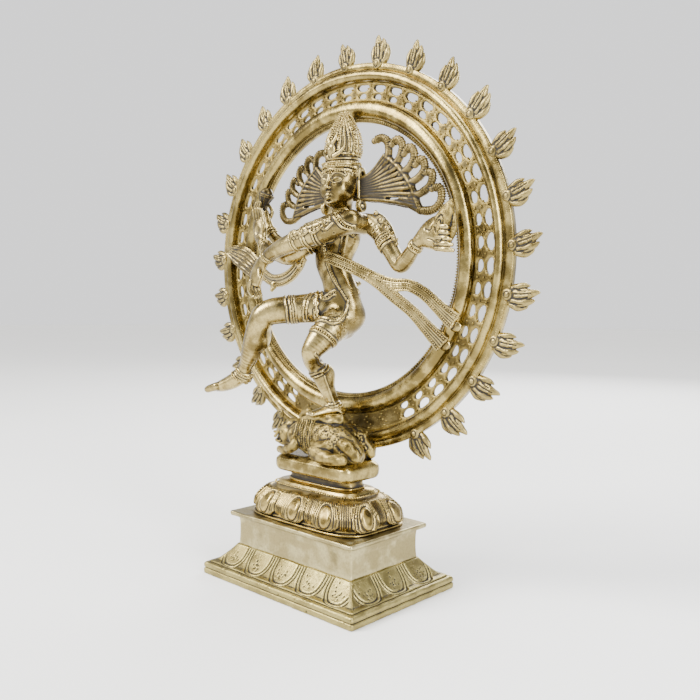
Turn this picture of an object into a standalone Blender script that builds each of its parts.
"""Brass statue: a dancing four-armed figure in a ring of flames on a lotus base.

Constants are millimetres; meshes are written in metres, +Z up, origin at the
centre of the foot's underside, the figure facing -Y.
"""
import math

import bmesh
import bpy
from mathutils import Vector

MM = 0.001
GAP = 0.3                 # brazed joint clearance between castings
BOLT_CLEARANCE = 0.4      # radial room round the stud

# ---- base -------------------------------------------------------------
FOOT_X, FOOT_Y = 139.6, 97.6
FOOT_BAND_H = 8.0
APRON_H = 12.4
APRON_STEP = 3.1
APRON_RUN = 13.2
DADO_H = 19.3
PLATE_H = 3.2
PLATE_OVERHANG = 3.6
WALL = 2.8
CORNER_R = 1.6
LOTUS_X, LOTUS_Y, LOTUS_H = 100.0, 60.0, 22.4
NECK_X, NECK_Y, NECK_H = 60.0, 24.0, 6.0
SLAB_X, SLAB_Y, SLAB_H = 70.0, 34.0, 11.5

# ---- fixing -----------------------------------------------------------
STUD_D = 6.0
STUD_TAIL = 12.0          # thread standing below the plinth deck
STUD_BITE = 5.0           # length screwed into the neck
WASHER_D, WASHER_T = 18.0, 1.6
NUT_AF, NUT_H = 10.0, 5.0

# ---- ring: half sizes across X and along Z, and depths in Y -----------
RING_RISE = 129.4         # ring centre above the slab
RING_OPENING = (91.8, 89.2)
RING_STRIP = (93.4, 91.6)
RING_INNER = (102.8, 103.0)
RING_OUTER = (118.0, 114.7)
RING_CREST = (123.9, 122.0)
RING_EDGE = (130.0, 126.0)
RAIL_FRONT, RAIL_BACK = 12.0, 21.4
LATTICE_FRONT, LATTICE_T = 17.4, 3.0
FLANGE_FRONT, FLANGE_BACK = 15.0, 19.6
RING_SIDES = 60
HOLES_ROUND = 50          # lattice cells round the whole ring
HOLE_LAST = 21            # cells are pierced to this index either side of the top
FLAME_STEP = 12.6         # degrees between flames
FLAME_COUNT = 25
FLAME_H, FLAME_W, FLAME_T = 18.5, 12.0, 4.4
RING_FOOT_X, RING_FOOT_FRONT, RING_FOOT_BACK, RING_FOOT_H = 44.0, 8.0, 24.0, 17.0

# ---- figure -----------------------------------------------------------
FIGURE_X = 8.0            # head and crown stand on this line
SASH_W, SASH_T = 7.4, 2.4
FAN_T = 4.6
CURL_R = 2.0
FAN_LEFT_SCALE = 0.82

# ---- heights that follow from the sizes above -------------------------
APRON_TOP = FOOT_BAND_H + APRON_H
DADO_TOP = APRON_TOP + DADO_H
PLATE_Z = DADO_TOP + GAP
LOTUS_Z = PLATE_Z + PLATE_H + GAP
NECK_Z = LOTUS_Z + LOTUS_H + GAP
SLAB_Z = NECK_Z + NECK_H + GAP
FLOOR_Z = SLAB_Z + SLAB_H + GAP
DADO_INSET = APRON_STEP + APRON_RUN
RING_Z = FLOOR_Z + RING_RISE
DRAWN_FLOOR = 84.3        # the slab height the figure's points are written for
LIFT = FLOOR_Z - DRAWN_FLOOR

MATERIALS = {
    "polished_brass": (0.62, 0.50, 0.27, 0.24),
    "aged_brass": (0.42, 0.34, 0.19, 0.42),
    "pitted_brass": (0.40, 0.33, 0.19, 0.52),
    "fixing_steel": (0.48, 0.49, 0.50, 0.35),
}


# ---- mesh helpers -----------------------------------------------------
def new_object(name, verts, faces):
    """A mesh object from millimetre points, with its faces turned outward."""
    mesh = bpy.data.meshes.new(name)
    mesh.from_pydata([(x * MM, y * MM, z * MM) for x, y, z in verts], [], faces)
    obj = bpy.data.objects.new(name, mesh)
    bpy.context.scene.collection.objects.link(obj)
    outward(obj)
    return obj


def outward(obj):
    """Turn every face outward, as triangles so that later cuts see the same surface."""
    bm = bmesh.new()
    bm.from_mesh(obj.data)
    bmesh.ops.triangulate(bm, faces=bm.faces[:])
    bmesh.ops.recalc_face_normals(bm, faces=bm.faces[:])
    if bm.calc_volume(signed=True) < 0:
        bmesh.ops.reverse_faces(bm, faces=bm.faces[:])
    bm.to_mesh(obj.data)
    bm.free()


def weld(obj):
    """Merge the points neighbouring cells share."""
    bm = bmesh.new()
    bm.from_mesh(obj.data)
    bmesh.ops.remove_doubles(bm, verts=bm.verts[:], dist=0.01 * MM)
    bm.to_mesh(obj.data)
    bm.free()
    outward(obj)


def bridge(rings, ring_closed=False):
    """Faces joining equal rings of points; the ends are capped unless closed."""
    n = len(rings[0])
    verts = [p for ring in rings for p in ring]
    faces = []
    last = len(rings) if ring_closed else len(rings) - 1
    for i in range(last):
        a, b = i * n, ((i + 1) % len(rings)) * n
        for k in range(n):
            m = (k + 1) % n
            faces.append((a + k, a + m, b + m, b + k))
    if not ring_closed:
        faces.append(tuple(range(n))[::-1])
        faces.append(tuple(range((len(rings) - 1) * n, len(rings) * n)))
    return verts, faces


def boolean(target, cutter, operation):
    """Apply one exact boolean and drop the cutter."""
    mod = target.modifiers.new("cut", "BOOLEAN")
    mod.operation, mod.solver, mod.object = operation, "EXACT", cutter
    graph = bpy.context.evaluated_depsgraph_get()
    mesh = bpy.data.meshes.new_from_object(target.evaluated_get(graph))
    target.modifiers.clear()
    old, target.data = target.data, mesh
    bpy.data.meshes.remove(old)
    bpy.data.objects.remove(cutter)
    keep_main_body(target)


def keep_main_body(obj):
    """Merge stray points and keep only the largest connected body."""
    bm = bmesh.new()
    bm.from_mesh(obj.data)
    bmesh.ops.remove_doubles(bm, verts=bm.verts[:], dist=0.002 * MM)
    bmesh.ops.dissolve_degenerate(bm, edges=bm.edges[:], dist=0.002 * MM)
    left, groups = set(bm.verts), []
    while left:
        stack, group = [next(iter(left))], set()
        while stack:
            v = stack.pop()
            if v in group:
                continue
            group.add(v)
            stack.extend(e.other_vert(v) for e in v.link_edges)
        left -= group
        groups.append(group)
    groups.sort(key=len)
    for group in groups[:-1]:
        bmesh.ops.delete(bm, geom=list(group), context="VERTS")
    bmesh.ops.triangulate(bm, faces=bm.faces[:])
    bm.to_mesh(obj.data)
    bm.free()


UNTRIMMED = {}            # each casting's mesh as it was before its joints were cut


def grown(obj, gap):
    """A cutter the shape of the untrimmed casting, swollen evenly by gap."""
    bm = bmesh.new()
    bm.from_mesh(UNTRIMMED.get(obj.name, obj.data))
    bmesh.ops.recalc_face_normals(bm, faces=bm.faces[:])
    bm.normal_update()
    moves = [v.normal * (gap * MM * min(v.calc_shell_factor(), 1.6)) for v in bm.verts]
    for v, move in zip(bm.verts, moves):
        v.co += move
    mesh = bpy.data.meshes.new("cutter")
    bm.to_mesh(mesh)
    bm.free()
    cutter = bpy.data.objects.new("cutter", mesh)
    cutter.hide_render, cutter.display_type = True, "WIRE"
    bpy.context.scene.collection.objects.link(cutter)
    return cutter


def keep_clear(target, *others):
    """Trim target back from every other casting by the joint clearance."""
    UNTRIMMED.setdefault(target.name, target.data.copy())
    for other in others:
        boolean(target, grown(other, GAP), "DIFFERENCE")


def smooth_path(rows, steps):
    """Catmull-Rom rows between the given rows, steps per interval."""
    if steps < 2:
        return [tuple(r) for r in rows]
    out = []
    for i in range(len(rows) - 1):
        p0, p1 = rows[max(i - 1, 0)], rows[i]
        p2, p3 = rows[i + 1], rows[min(i + 2, len(rows) - 1)]
        for s in range(steps):
            t = s / steps
            out.append(tuple(
                0.5 * (2 * b + (c - a) * t + (2 * a - 5 * b + 4 * c - d) * t * t
                       + (3 * b - a - 3 * c + d) * t ** 3)
                for a, b, c, d in zip(p0, p1, p2, p3)))
    out.append(tuple(rows[-1]))
    return out


def round_section(sides):
    turn = 2 * math.pi / sides
    return [(math.cos(k * turn), math.sin(k * turn)) for k in range(sides)]


FLAT_SECTION = [(1, 0.55), (0, 1), (-1, 0.55), (-1, -0.55), (0, -0.8), (1, -0.55)]


def sweep(name, rows, section, steps=2, facing=(0, -1, 0)):
    """A body along rows of x, y, z, half width, half depth; depth lies along facing."""
    rows = smooth_path(rows, steps)
    centres = [Vector((r[0], r[1], r[2] + LIFT)) for r in rows]
    rings = []
    for i, row in enumerate(rows):
        tangent = (centres[min(i + 1, len(rows) - 1)] - centres[max(i - 1, 0)]).normalized()
        normal = Vector(facing)
        normal = (normal - tangent * normal.dot(tangent)).normalized()
        width = tangent.cross(normal)
        rings.append([tuple(centres[i] + width * (u * row[3]) + normal * (v * row[4]))
                      for u, v in section])
    return new_object(name, *bridge(rings))


def limb(name, rows, sides=10, steps=2, facing=(0, -1, 0)):
    """A round limb; rows are x, y, z, radius or x, y, z, half width, half depth."""
    rows = [tuple(r) if len(r) == 5 else (*r, r[3]) for r in rows]
    return sweep(name, rows, round_section(sides), steps, facing)


def join_on(target, extra):
    boolean(target, extra, "UNION")


def rounded_ring(x, y, z, radius, per_corner=3):
    """One rectangular ring of points, x by y across, with rounded corners."""
    points = []
    for quarter, (sx, sy) in enumerate(((1, 1), (-1, 1), (-1, -1), (1, -1))):
        cx, cy = sx * (x / 2 - radius), sy * (y / 2 - radius)
        for k in range(per_corner):
            a = math.pi / 2 * (quarter + k / (per_corner - 1))
            points.append((cx + radius * math.cos(a), cy + radius * math.sin(a), z))
    return points


def super_ring(x, y, z, sides, power=2.8):
    """One ring of points between an ellipse and a rectangle, x by y across."""
    points = []
    for k in range(sides):
        a = 2 * math.pi * (k + 0.5) / sides
        c, s = math.cos(a), math.sin(a)
        points.append((x / 2 * math.copysign(abs(c) ** (2 / power), c),
                       y / 2 * math.copysign(abs(s) ** (2 / power), s), z))
    return points


def cylinder(name, radius, z0, z1, sides=16):
    rings = [[(radius * u, radius * v, z) for u, v in round_section(sides)] for z in (z0, z1)]
    return new_object(name, *bridge(rings))


def drill(target, z0, z1):
    """A clearance hole for the stud on the centre line."""
    boolean(target, cylinder("bore", STUD_D / 2 + BOLT_CLEARANCE, z0, z1), "DIFFERENCE")


# ---- base -------------------------------------------------------------
def build_plinth():
    outer = [(0.8, 0), (0, 1.0), (0, 3.6), (0.7, 4.0), (0, 4.4), (0, FOOT_BAND_H - 1.2),
             (1.2, FOOT_BAND_H), (APRON_STEP, FOOT_BAND_H)]
    for t in (0.25, 0.5, 0.75, 1.0):
        outer.append((APRON_STEP + APRON_RUN * t ** 0.72, FOOT_BAND_H + APRON_H * t))
    outer += [(DADO_INSET + 0.9, APRON_TOP + 2.4), (DADO_INSET + 1.2, DADO_TOP - 2.0),
              (DADO_INSET + 0.6, DADO_TOP)]
    inner = [(DADO_INSET + WALL + 1.0, DADO_TOP - WALL),
             (DADO_INSET + WALL + 1.0, APRON_TOP - 1.0),
             (APRON_STEP + APRON_RUN * 0.5 + WALL, FOOT_BAND_H + APRON_H * 0.38 - 1.0),
             (APRON_STEP + WALL + 1.4, FOOT_BAND_H - WALL), (WALL + 1.6, 0)]
    rings = [rounded_ring(FOOT_X - 2 * i, FOOT_Y - 2 * i, z, CORNER_R) for i, z in outer]
    inside = [rounded_ring(FOOT_X - 2 * i, FOOT_Y - 2 * i, z, CORNER_R) for i, z in inner]
    verts, faces = bridge(inside + rings)
    n = len(rings[0])
    foot_in, foot_out = (len(inside) - 1) * n, len(inside) * n
    assert foot_out - foot_in == n
    plinth = new_object("plinth", verts, faces)
    drill(plinth, DADO_TOP - 2 * WALL, DADO_TOP + 2)
    return plinth


def build_top_plate():
    x = FOOT_X - 2 * (DADO_INSET - PLATE_OVERHANG)
    y = FOOT_Y - 2 * (DADO_INSET - PLATE_OVERHANG)
    edge = ((1.0, 0), (0, 0.8), (0, PLATE_H - 0.8), (0.8, PLATE_H))
    rings = [rounded_ring(x - 2 * i, y - 2 * i, PLATE_Z + z, CORNER_R) for i, z in edge]
    plate = new_object("top_plate", *bridge(rings))
    drill(plate, PLATE_Z - 2, PLATE_Z + PLATE_H + 2)
    return plate


def build_lotus():
    """A hollow domed tier, open underneath, its top ring under the neck."""
    profile = [(0.0, 0.0), (0.0, 1.6), (1.6, 2.4), (0.6, 4.6), (1.2, 8.5), (4.4, 13.0),
               (9.0, 17.0), (13.5, LOTUS_H - 2.6), (15.5, LOTUS_H)]
    top = profile[-1][0] + WALL
    inner = [(top, LOTUS_H - WALL), (11.5, 14.6), (6.8, 10.2), (4.6, 5.0), (4.2, 0.0)]

    def ring(inset, z):
        t = max(0.0, (inset - 4.4) / (profile[-1][0] - 4.4))
        x = (LOTUS_X - 2 * inset) * (1 - 0.04 * t)
        return super_ring(x, LOTUS_Y - 2 * inset, LOTUS_Z + z, 24)

    rings = [ring(*p) for p in inner] + [ring(*p) for p in profile]
    lotus = new_object("lotus_seat", *bridge(rings))
    drill(lotus, LOTUS_Z + LOTUS_H - 2 * WALL, LOTUS_Z + LOTUS_H + 2)
    return lotus


def build_neck():
    waist = ((0.0, 0.0), (-1.4, 0.3), (-1.4, 0.6), (0.0, 1.0))
    rings = [super_ring(NECK_X + 2 * i, NECK_Y + 2 * i, NECK_Z + NECK_H * t, 20)
             for i, t in waist]
    neck = new_object("neck", *bridge(rings))
    drill(neck, NECK_Z - 2, NECK_Z + STUD_BITE + 0.6)
    return neck


def build_slab():
    edge = ((2.6, 0), (0.5, 2.0), (0, SLAB_H / 2), (0.5, SLAB_H - 2.0), (2.6, SLAB_H))
    rings = [rounded_ring(SLAB_X - 2 * i, SLAB_Y - 2 * i, SLAB_Z + z, 7.0) for i, z in edge]
    return new_object("cushion_slab", *bridge(rings))


def build_fixing():
    """The stud, washer and nut that hold the upper castings to the plinth."""
    under_deck = DADO_TOP - WALL - GAP
    washer = cylinder("stud_washer", WASHER_D / 2, under_deck - WASHER_T, under_deck, 20)
    drill(washer, under_deck - 4 * WASHER_T, under_deck + 2)
    nut_top = under_deck - WASHER_T - GAP
    turn = NUT_AF / 2 / math.cos(math.pi / 6)
    nut = cylinder("stud_nut", turn, nut_top - NUT_H, nut_top, 6)
    drill(nut, nut_top - 2 * NUT_H, nut_top + 2)
    stud = cylinder("fixing_stud", STUD_D / 2, under_deck - STUD_TAIL, NECK_Z + STUD_BITE)
    return [stud, washer, nut]


# ---- ring -------------------------------------------------------------
def ring_at(halves, degrees, y):
    a = math.radians(degrees)
    return (halves[0] * math.sin(a), y, RING_Z + halves[1] * math.cos(a))


def between(a, b, t):
    return (a[0] + (b[0] - a[0]) * t, a[1] + (b[1] - a[1]) * t)


def hoop(name, profile, sides=RING_SIDES):
    """A closed hoop; profile rows are half sizes and depth."""
    rings = [[ring_at(halves, 360 * k / sides, y) for halves, y in profile]
             for k in range(sides)]
    return new_object(name, *bridge(rings, ring_closed=True))


def build_inner_rail():
    depth = RAIL_BACK - RAIL_FRONT
    return hoop("ring_inner_rail", [
        (RING_OPENING, RAIL_BACK - 0.24 * depth), (RING_OPENING, RAIL_FRONT + 0.35 * depth),
        (RING_STRIP, RAIL_FRONT + 0.30 * depth),
        (between(RING_STRIP, RING_INNER, 0.25), RAIL_FRONT + 0.06 * depth),
        (between(RING_STRIP, RING_INNER, 0.55), RAIL_FRONT),
        (between(RING_STRIP, RING_INNER, 0.85), RAIL_FRONT + 0.14 * depth),
        (RING_INNER, RAIL_FRONT + 0.42 * depth), (RING_INNER, RAIL_BACK)])


def build_outer_rail():
    inner = (RING_OUTER[0] + GAP, RING_OUTER[1] + GAP)
    depth = RAIL_BACK - RAIL_FRONT
    return hoop("ring_outer_rail", [
        (inner, RAIL_BACK), (inner, RAIL_FRONT + 0.42 * depth),
        (between(inner, RING_CREST, 0.2), RAIL_FRONT + 0.1 * depth),
        (between(inner, RING_CREST, 0.5), RAIL_FRONT),
        (between(inner, RING_CREST, 0.85), RAIL_FRONT + 0.14 * depth),
        (RING_CREST, FLANGE_FRONT), (RING_EDGE, FLANGE_FRONT + 0.3), (RING_EDGE, FLANGE_BACK)])


OUTER_HOLE = [(0, -3.0), (-3.4, -2.1), (-4.6, 2.2), (0, 2.2), (4.6, 2.2), (3.4, -2.1)]
INNER_HOLE = [(0, -1.5), (-3.5, -1.5), (-2.5, 1.3), (0, 2.6), (2.5, 1.3), (3.5, -1.5)]


def place_hole(halves, degrees, outline):
    """Points of one lattice hole; outline rows are along and across the band."""
    a = math.radians(degrees)
    cx, _, cz = ring_at(halves, degrees, 0)
    along = Vector((halves[0] * math.cos(a), -halves[1] * math.sin(a))).normalized()
    across = Vector((-along.y, along.x))
    return [(cx + along.x * u + across.x * v, cz + along.y * u + across.y * v)
            for u, v in outline]


def lattice_cell(k, inner, outer):
    """Flat corner points of cell k and the faces round its two holes."""
    step = 360 / HOLES_ROUND
    spots = [ring_at(halves, (k + t) * step, 0) for t in (-0.5, 0, 0.5)
             for halves in (inner, outer)]
    flat = [(x, z) for x, _, z in spots]
    if abs(k) > HOLE_LAST:
        return flat, [(0, 2, 3, 1), (2, 4, 5, 3)], []
    flat += place_hole(between(inner, outer, 0.26), k * step, INNER_HOLE)
    flat += place_hole(between(inner, outer, 0.74), k * step, OUTER_HOLE)
    left = (0, 2, 6, 7, 8, 9, 12, 13, 14, 15, 3, 1)
    right = (4, 5, 3, 15, 16, 17, 12, 9, 10, 11, 6, 2)
    return flat, [left, right], [tuple(range(6, 12)), tuple(range(12, 18))]


def build_lattice():
    """The pierced band between the rails, made cell by cell."""
    inner = (RING_INNER[0] + GAP, RING_INNER[1] + GAP)
    depths = (LATTICE_FRONT, LATTICE_FRONT + LATTICE_T)
    verts, faces = [], []
    for k in range(-(HOLES_ROUND // 2), HOLES_ROUND - HOLES_ROUND // 2):
        flat, plates, holes = lattice_cell(k, inner, RING_OUTER)
        n, start = len(flat), len(verts)
        for y in depths:
            verts += [(x, y, z) for x, z in flat]
        walls = [loop[i:i + 2] for hole in holes for loop in (hole + hole[:1],)
                 for i in range(len(hole))] + [(0, 2), (2, 4), (1, 3), (3, 5)]
        faces += [tuple(i + start for i in plate) for plate in plates]
        faces += [tuple(i + start + n for i in plate) for plate in plates]
        faces += [(start + i, start + j, start + j + n, start + i + n) for i, j in walls]
    band = new_object("ring_lattice", verts, faces)
    weld(band)
    return band


def build_flame(index):
    """One leaf of fire standing out from the flange, with a leaning middle tongue."""
    degrees = (index - (FLAME_COUNT - 1) / 2) * FLAME_STEP
    x0, _, z0 = ring_at(RING_EDGE, degrees, 0)
    a = math.radians(degrees)
    out = Vector((math.sin(a), 0, math.cos(a)))
    side = Vector((math.cos(a), 0, -math.sin(a)))
    lean = 1 if degrees > 0 else -1
    half, mid = FLAME_W / 2, (FLANGE_FRONT + FLANGE_BACK) / 2
    outline = [(-0.42, 0.0), (-0.75, 0.16), (-1.0, 0.50), (-0.58, 0.42), (-0.62, 0.76),
               (-0.22, 0.62), (0.12, 1.0), (0.34, 0.60), (0.74, 0.78), (0.66, 0.40),
               (1.0, 0.44), (0.78, 0.14), (0.42, 0.0)]
    rings = []
    for y, shrink in ((-0.5, 0.72), (0.1, 1.0), (0.5, 0.7)):
        ring = []
        for u, v in outline:
            u, v = u * lean * shrink, 0.42 + (v - 0.42) * (shrink if v > 0 else 1)
            spot = out * (GAP + v * FLAME_H) + side * (u * half)
            ring.append((x0 + spot.x, mid + y * FLAME_T, z0 + spot.z))
        rings.append(ring)
    return new_object(f"flame_{index + 1:02d}", *bridge(rings))


def build_ring_foot(*hoops):
    """The rough mass that carries the ring's lowest part on the slab."""
    depth, middle = RING_FOOT_BACK - RING_FOOT_FRONT, (RING_FOOT_BACK + RING_FOOT_FRONT) / 2
    rows = ((1.0, 1.0, 0.0), (1.04, 1.0, 0.35), (0.9, 0.94, 0.75), (0.62, 0.82, 1.0))
    rings = [[(x, middle + y, z) for x, y, z in
              super_ring(RING_FOOT_X * u, depth * v, FLOOR_Z + RING_FOOT_H * t, 16)]
             for u, v, t in rows]
    foot = new_object("ring_foot", *bridge(rings))
    keep_clear(foot, *hoops)
    return foot


# ---- figure -----------------------------------------------------------
def build_torso():
    body = limb("torso", [
        (7, 5, 170, 8, 7), (7, 5, 174, 11.5, 10), (7, 5, 183, 13.2, 11.5), (3, 4, 194, 10.6, 9),
        (-1, 3, 205, 8.6, 7.4), (1, 3, 214, 10.4, 8), (4, 4, 223, 14, 9.4),
        (7, 5, 231, 15, 8.6), (8, 5, 235, 10, 6.5)], 12)
    join_on(body, limb("neck_stub", [(8, 5, 230, 6.4), (8, 4, 240, 5.2), (8, 4, 249, 5.2)], 10, 1))
    return body


def build_head(torso):
    head = limb("head", [
        (FIGURE_X, 1.0, 245.0, 4.5, 4.0), (FIGURE_X, 1.0, 247.5, 7.2, 7.0),
        (FIGURE_X, 1.6, 252, 9.8, 9.6), (FIGURE_X, 2.6, 259, 11.8, 11.4),
        (FIGURE_X, 3.6, 266, 12.4, 11.8), (FIGURE_X, 4.2, 272, 11.2, 10.8),
        (FIGURE_X, 4.4, 275.5, 8.8, 8.6)], 12)
    UNTRIMMED[head.name] = head.data.copy()
    nose = limb("nose", [(FIGURE_X, -8.6, 262, 1.1), (FIGURE_X, -9.6, 258, 1.7),
                         (FIGURE_X, -10.2, 255.4, 2.1), (FIGURE_X, -8.6, 254.2, 1.4)], 6, 1)
    join_on(head, nose)
    for side in (-1, 1):
        x = FIGURE_X + side * 12.2
        ear = limb("ear", [(x, 4, 262, 1.4), (x + side, 4, 256, 2.2),
                           (x + side * 1.4, 3.4, 249, 2.6), (x + side, 3, 244.6, 2.0)], 6, 1)
        join_on(head, ear)
    keep_clear(head, torso)
    return head


def build_crown(head):
    crown = limb("crown", [
        (FIGURE_X, 4.4, 274.4, 10.6, 8.6), (FIGURE_X, 4.8, 279, 10.2, 7.6),
        (FIGURE_X, 5.6, 286, 12.4, 6.6), (FIGURE_X, 6.6, 293, 10.8, 5.4),
        (FIGURE_X + 0.4, 7.2, 301, 6.2, 3.6), (FIGURE_X + 0.8, 7.6, 307.4, 1.8, 1.6)], 12)
    keep_clear(crown, head)
    return crown


def build_crown_lug(*neighbours):
    lug = limb("crown_lug", [(FIGURE_X, 7.0, 297.5, 3.0), (FIGURE_X, 11.0, 300.5, 3.2),
                             (FIGURE_X, 17.0, 304.5, 3.4)], 8, 1, facing=(1, 0, 0))
    keep_clear(lug, *neighbours)
    return lug


def build_raised_leg(torso):
    leg = limb("raised_leg", [
        (3, 2, 184, 9.5), (-2, -4, 184.5, 10.8), (-12, -14, 184.5, 10), (-22, -24, 181, 8.8),
        (-30, -29.5, 177, 8), (-37, -29.5, 164, 7.4), (-45, -28.5, 150, 5.4),
        (-51, -27.5, 139, 4.3), (-54, -26, 133.5, 4.8)], 10)
    foot = limb("foot", [(-50, -25.5, 135, 3.6, 3.4), (-57, -27, 132.6, 4.4, 4.2),
                         (-70, -29.5, 129, 5.0, 3.2), (-81, -31, 125.6, 4.0, 2.0)], 7, 2,
                facing=(0.3, 0, 1))
    join_on(leg, foot)
    keep_clear(leg, torso)
    return leg


def build_standing_leg(*neighbours):
    leg = limb("standing_leg", [
        (10, 7, 178, 10.4), (8.5, -3, 171, 10.8), (6.4, -14, 161, 8.8), (5, -20, 152.5, 7.2),
        (4.6, -12, 143, 6.6), (4, -3.5, 133, 5.0), (3.4, 1, 124, 4.2),
        (3.4, 1.4, 116, 5.2), (3.4, 1.2, 113.2, 4.6)], 10)
    foot = limb("foot", [(1.6, 5.6, 114.6, 3.6, 2.0), (6, -1, 115.2, 4.6, 3.2),
                         (12, -9, 114.0, 5.0, 2.2), (17, -15.6, 113.2, 4.0, 1.4)], 7, 2,
                facing=(0, 0, 1))
    join_on(leg, foot)
    keep_clear(leg, *neighbours)
    return leg


def build_front_left_arm(torso):
    arm = limb("front_left_arm", [
        (29, 3, 229, 5.8), (25, -5, 229.2, 6.8), (15, -12, 228.6, 6.6), (3, -17, 227, 6.2),
        (-9, -21, 224, 5.6), (-22, -23.5, 220.6, 5.4), (-33, -24, 217, 4.8),
        (-42, -24, 213.6, 4.2), (-48, -24, 208, 4.6, 4.0), (-53, -24.4, 199.5, 5.4, 3.2),
        (-55, -24.6, 191.5, 4.0, 2.4), (-54.4, -24.4, 187.5, 2.4, 1.6)], 10, 2,
        facing=(-0.5, -1, 0.2))
    keep_clear(arm, torso)
    return arm


def build_front_right_arm(*neighbours):
    arm = limb("front_right_arm", [
        (-4, 1, 229, 6.4), (-12, -4, 225, 6.2), (-20, -9, 219.5, 5.8), (-25, -12.5, 215, 5.4),
        (-34, -14.5, 216.5, 4.8), (-48, -12, 222, 4.2), (-58, -8.5, 226.5, 4.2),
        (-65.5, -6, 231, 5.2, 3.2), (-69, -5.4, 238, 6.4, 2.6), (-70.5, -5.2, 245, 5.4, 2.0),
        (-71, -5.2, 248.5, 3.2, 1.4)], 10, 2, facing=(0.5, -1, 0.3))
    keep_clear(arm, *neighbours)
    return arm


def build_rear_right_arm(*neighbours):
    arm = limb("rear_right_arm", [
        (-4, 8.6, 232, 5.6), (-13, 9, 231.5, 6.2), (-26, 8.6, 227, 5.6), (-40, 7.4, 222.6, 5.2),
        (-50, 6.4, 223.4, 4.8), (-59, 6.0, 230, 4.2), (-65, 5.4, 237, 4.6),
        (-68, 5.0, 243, 5.6, 4.4), (-69.6, 4.8, 249, 4.6, 4.0)], 10)
    keep_clear(arm, *neighbours)
    return arm


def build_drum(*neighbours):
    drum = limb("drum", [
        (-73.5, 4.4, 246.0, 5.6), (-72.0, 4.6, 250.0, 5.8), (-70.2, 4.8, 254.0, 3.4),
        (-68.4, 5.0, 258.0, 5.8), (-66.9, 5.2, 261.8, 5.6)], 12, 1)
    keep_clear(drum, *neighbours)
    return drum


def build_rear_left_arm(*neighbours):
    arm = limb("rear_left_arm", [
        (18, 6.4, 231, 5.8), (28, 7, 231.4, 6.6), (39, 7, 225, 6.4), (50, 6.4, 214.4, 5.6),
        (56.6, 6.0, 207.4, 5.4), (64, 5.4, 211.6, 5.0), (71, 4.8, 218.4, 4.6),
        (78, 4.4, 225.4, 4.8, 4.2), (84, 4.2, 230, 5.6, 4.2), (87.6, 4.0, 231.6, 4.6, 3.6)], 10)
    keep_clear(arm, *neighbours)
    return arm


def build_hand_flame(*neighbours):
    """The cup and fire carried on the rear left hand."""
    fire = limb("hand_flame", [
        (89.6, 4.2, 214.6, 3.6, 3.0), (91.6, 4.2, 220, 6.2, 4.4), (91.6, 4.2, 228, 6.6, 5.0),
        (91.4, 4.2, 235.6, 5.0, 4.2), (93.4, 4.2, 240.4, 3.4, 3.0), (95.8, 4.2, 244.4, 1.4, 1.4)],
        10)
    keep_clear(fire, *neighbours)
    return fire


# ---- hair and sashes --------------------------------------------------
FAN_Y = 9.5               # the fans stand behind the ears
FAN_ROOT = ((FIGURE_X + 1, 250.5), (FIGURE_X + 1, 263))
FAN_ARC = [(66, 244.5), (69, 251), (67, 257.5), (62, 264), (56, 270), (48.5, 275.5), (40, 275.5)]
CURLS = [
    [(41.5, 272), (45, 279), (45.6, 284.6), (41, 287.4), (35.6, 285.6)],
    [(50, 270), (56, 275.4), (58.4, 281), (54, 284.4), (49.4, 281.6)],
    [(57, 264), (64, 268.6), (67.6, 274), (64, 278), (59.4, 275)],
    [(62, 257), (70, 259.8), (75.4, 264.6), (73, 269.6), (68.2, 267.6)],
    [(64, 249.4), (73, 251), (80, 255.4), (80.4, 261.4), (75.6, 262)],
    [(62, 245.6), (72, 241), (81.6, 240), (88.4, 245), (87, 251.6), (82, 251.6)],
]


def fan_spot(side, x, z):
    """Mirror and shrink the left fan about the head's line."""
    scale = 1.0 if side > 0 else FAN_LEFT_SCALE
    return FIGURE_X + side * (x - FIGURE_X) * scale, 258 + (z - 258) * (scale + 1) / 2


def build_fan(name, side, *neighbours):
    y = FAN_Y
    rings = []
    for i, (x, z) in enumerate(FAN_ARC):
        low, high = FAN_ROOT
        root = fan_spot(side, *between(low, high, i / (len(FAN_ARC) - 1)))
        (x0, z0), (x1, z1) = root, fan_spot(side, x, z)
        low_y, high_y = y - FAN_T / 2, y + FAN_T / 2
        rings.append([(x0, low_y, z0 + LIFT), (x1, low_y, z1 + LIFT),
                      (x1, high_y, z1 + LIFT), (x0, high_y, z0 + LIFT)])
    fan = new_object(name, *bridge(rings))
    keep_clear(fan, *neighbours)
    for curl in CURLS:
        spots = [fan_spot(side, x, z) for x, z in curl]
        rows = [(x, y, z, CURL_R * (1.08 - 0.09 * i)) for i, (x, z) in enumerate(spots)]
        join_on(fan, limb("curl", rows, 5, 2))
    return fan


def ribbon(name, rows, facing=(0.25, -1, 0)):
    rows = [(x, y, z, SASH_W / 2 * w, SASH_T / 2) for x, y, z, w in rows]
    return sweep(name, rows, FLAT_SECTION, 2, facing)


def build_sash_right(*neighbours):
    sash = ribbon("sash_right", [
        (4, -4.6, 215.6, 1), (12, -8.4, 213.6, 1), (24, -6, 209, 1), (36, -2.6, 203, 1),
        (46, 0, 197.6, 1.1), (56, 2, 196, 0.95), (66, 4, 195.6, 0.9), (75.4, 6.6, 190.6, 0.95),
        (84.4, 8.8, 182.6, 1.1), (93.6, 10.2, 175.4, 1.5), (95.6, 10.4, 173.8, 1.2)])
    fork = ribbon("fork", [
        (42, -1.2, 199.4, 0.7), (50, 0.8, 194, 0.9), (58, 2.6, 187.6, 0.95),
        (66.6, 5, 180.4, 0.95), (75.4, 7.6, 171.6, 1.1), (84.6, 10, 162.4, 1.5),
        (86.4, 10.4, 160.6, 1.2)])
    join_on(sash, fork)
    keep_clear(sash, *neighbours)
    return sash


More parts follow.
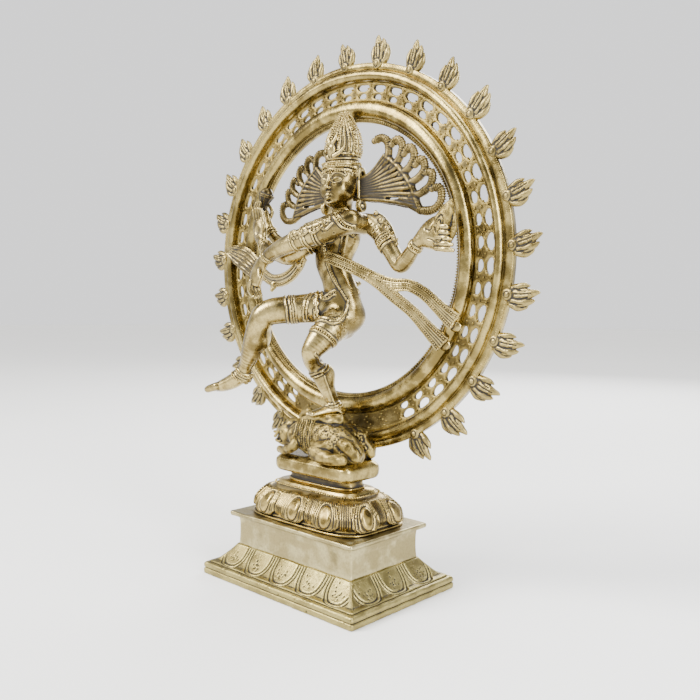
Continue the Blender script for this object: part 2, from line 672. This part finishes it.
def build_sash_left(*neighbours):
    """A looped ribbon from the bent elbow, widening to a leaf laid over the ring."""
    sash = ribbon("sash_left", [
        (-21, -9, 214, 0.9), (-27, -7.6, 206.6, 1), (-37, -4.4, 202, 1.05), (-48, -1.6, 200, 1.1),
        (-60, 1.6, 201, 1.2), (-72, 5.0, 204.6, 1.5), (-84, 7.4, 209.6, 2.2),
        (-97, 9.4, 216, 2.7), (-109, 10.2, 220.4, 2.1), (-119, 10.4, 224, 0.9),
        (-122, 10.4, 225, 0.5)])
    keep_clear(sash, *neighbours)
    return sash


def build_dwarf(*neighbours):
    """The small reclining figure under the standing foot, flat where it lies."""
    y = -4.5
    body = limb("dwarf", [
        (-25, y, 96, 8.6, 8.6), (-17, y, 98, 10.5, 10.8), (-5, y, 98, 11.8, 13.2),
        (7, y, 98, 11.8, 13.6), (17, y, 96, 11, 11.8), (26, y, 92.5, 9, 8.6),
        (33, y - 1, 90, 6, 5.6)], 12, 2, facing=(0, 0, 1))
    head = limb("dwarf_head", [
        (-36.5, y, 96, 3.4), (-34.5, y, 97, 7), (-29.5, y, 98.5, 9), (-24.5, y, 99, 7.6),
        (-21.5, y, 98, 4)], 10, 1, facing=(0, 0, 1))
    join_on(body, head)
    under = [rounded_ring(200, 200, z, 5) for z in (FLOOR_Z - 60, FLOOR_Z)]
    boolean(body, new_object("under", *bridge(under)), "DIFFERENCE")
    keep_clear(body, *neighbours)
    return body


# ---- finish -----------------------------------------------------------
PITTED = ("ring_lattice", "ring_foot", "flame_", "dwarf", "hand_flame")
AGED = ("plinth", "hair_fan", "sash_", "crown_lug", "drum", "top_plate", "lotus", "neck")
STEEL = ("fixing_stud", "stud_washer", "stud_nut")


def material_kind(name):
    for kind, starts in (("fixing_steel", STEEL), ("pitted_brass", PITTED), ("aged_brass", AGED)):
        if name.startswith(starts):
            return kind
    return "polished_brass"


def dress(obj):
    """Give an object its own material of the right kind."""
    kind = material_kind(obj.name)
    red, green, blue, rough = MATERIALS[kind]
    material = bpy.data.materials.new(obj.name)
    material.use_nodes = True
    shader = material.node_tree.nodes["Principled BSDF"]
    shader.inputs["Base Color"].default_value = (red, green, blue, 1)
    shader.inputs["Metallic"].default_value = 1.0
    shader.inputs["Roughness"].default_value = rough
    obj.data.materials.clear()
    obj.data.materials.append(material)


def main():
    for obj in list(bpy.data.objects):
        bpy.data.objects.remove(obj)
    parts = [build_plinth(), build_top_plate(), build_lotus(), build_neck(), build_slab()]
    parts += build_fixing()
    inner, outer, lattice = build_inner_rail(), build_outer_rail(), build_lattice()
    ring_foot = build_ring_foot(inner, outer, lattice)
    parts += [inner, outer, lattice, ring_foot]
    parts += [build_flame(k) for k in range(FLAME_COUNT)]

    torso = build_torso()
    head = build_head(torso)
    crown = build_crown(head)
    lug = build_crown_lug(crown, inner)
    raised = build_raised_leg(torso)
    dwarf = build_dwarf(ring_foot)
    standing = build_standing_leg(torso, raised, dwarf)
    crossing = build_front_left_arm(torso)
    palm_arm = build_front_right_arm(torso, crossing)
    rear_left = build_rear_left_arm(torso, crossing)
    rear_right = build_rear_right_arm(torso, palm_arm, crossing)
    parts += [torso, head, crown, lug, raised, dwarf, standing, crossing, palm_arm,
              rear_left, rear_right, build_drum(rear_right, palm_arm),
              build_hand_flame(rear_left, inner)]
    parts += [build_fan("hair_fan_right", 1, head), build_fan("hair_fan_left", -1, head),
              build_sash_right(torso, crossing, rear_left, inner),
              build_sash_left(palm_arm, crossing, torso, inner, outer)]
    for part in parts:
        outward(part)
        dress(part)


main()
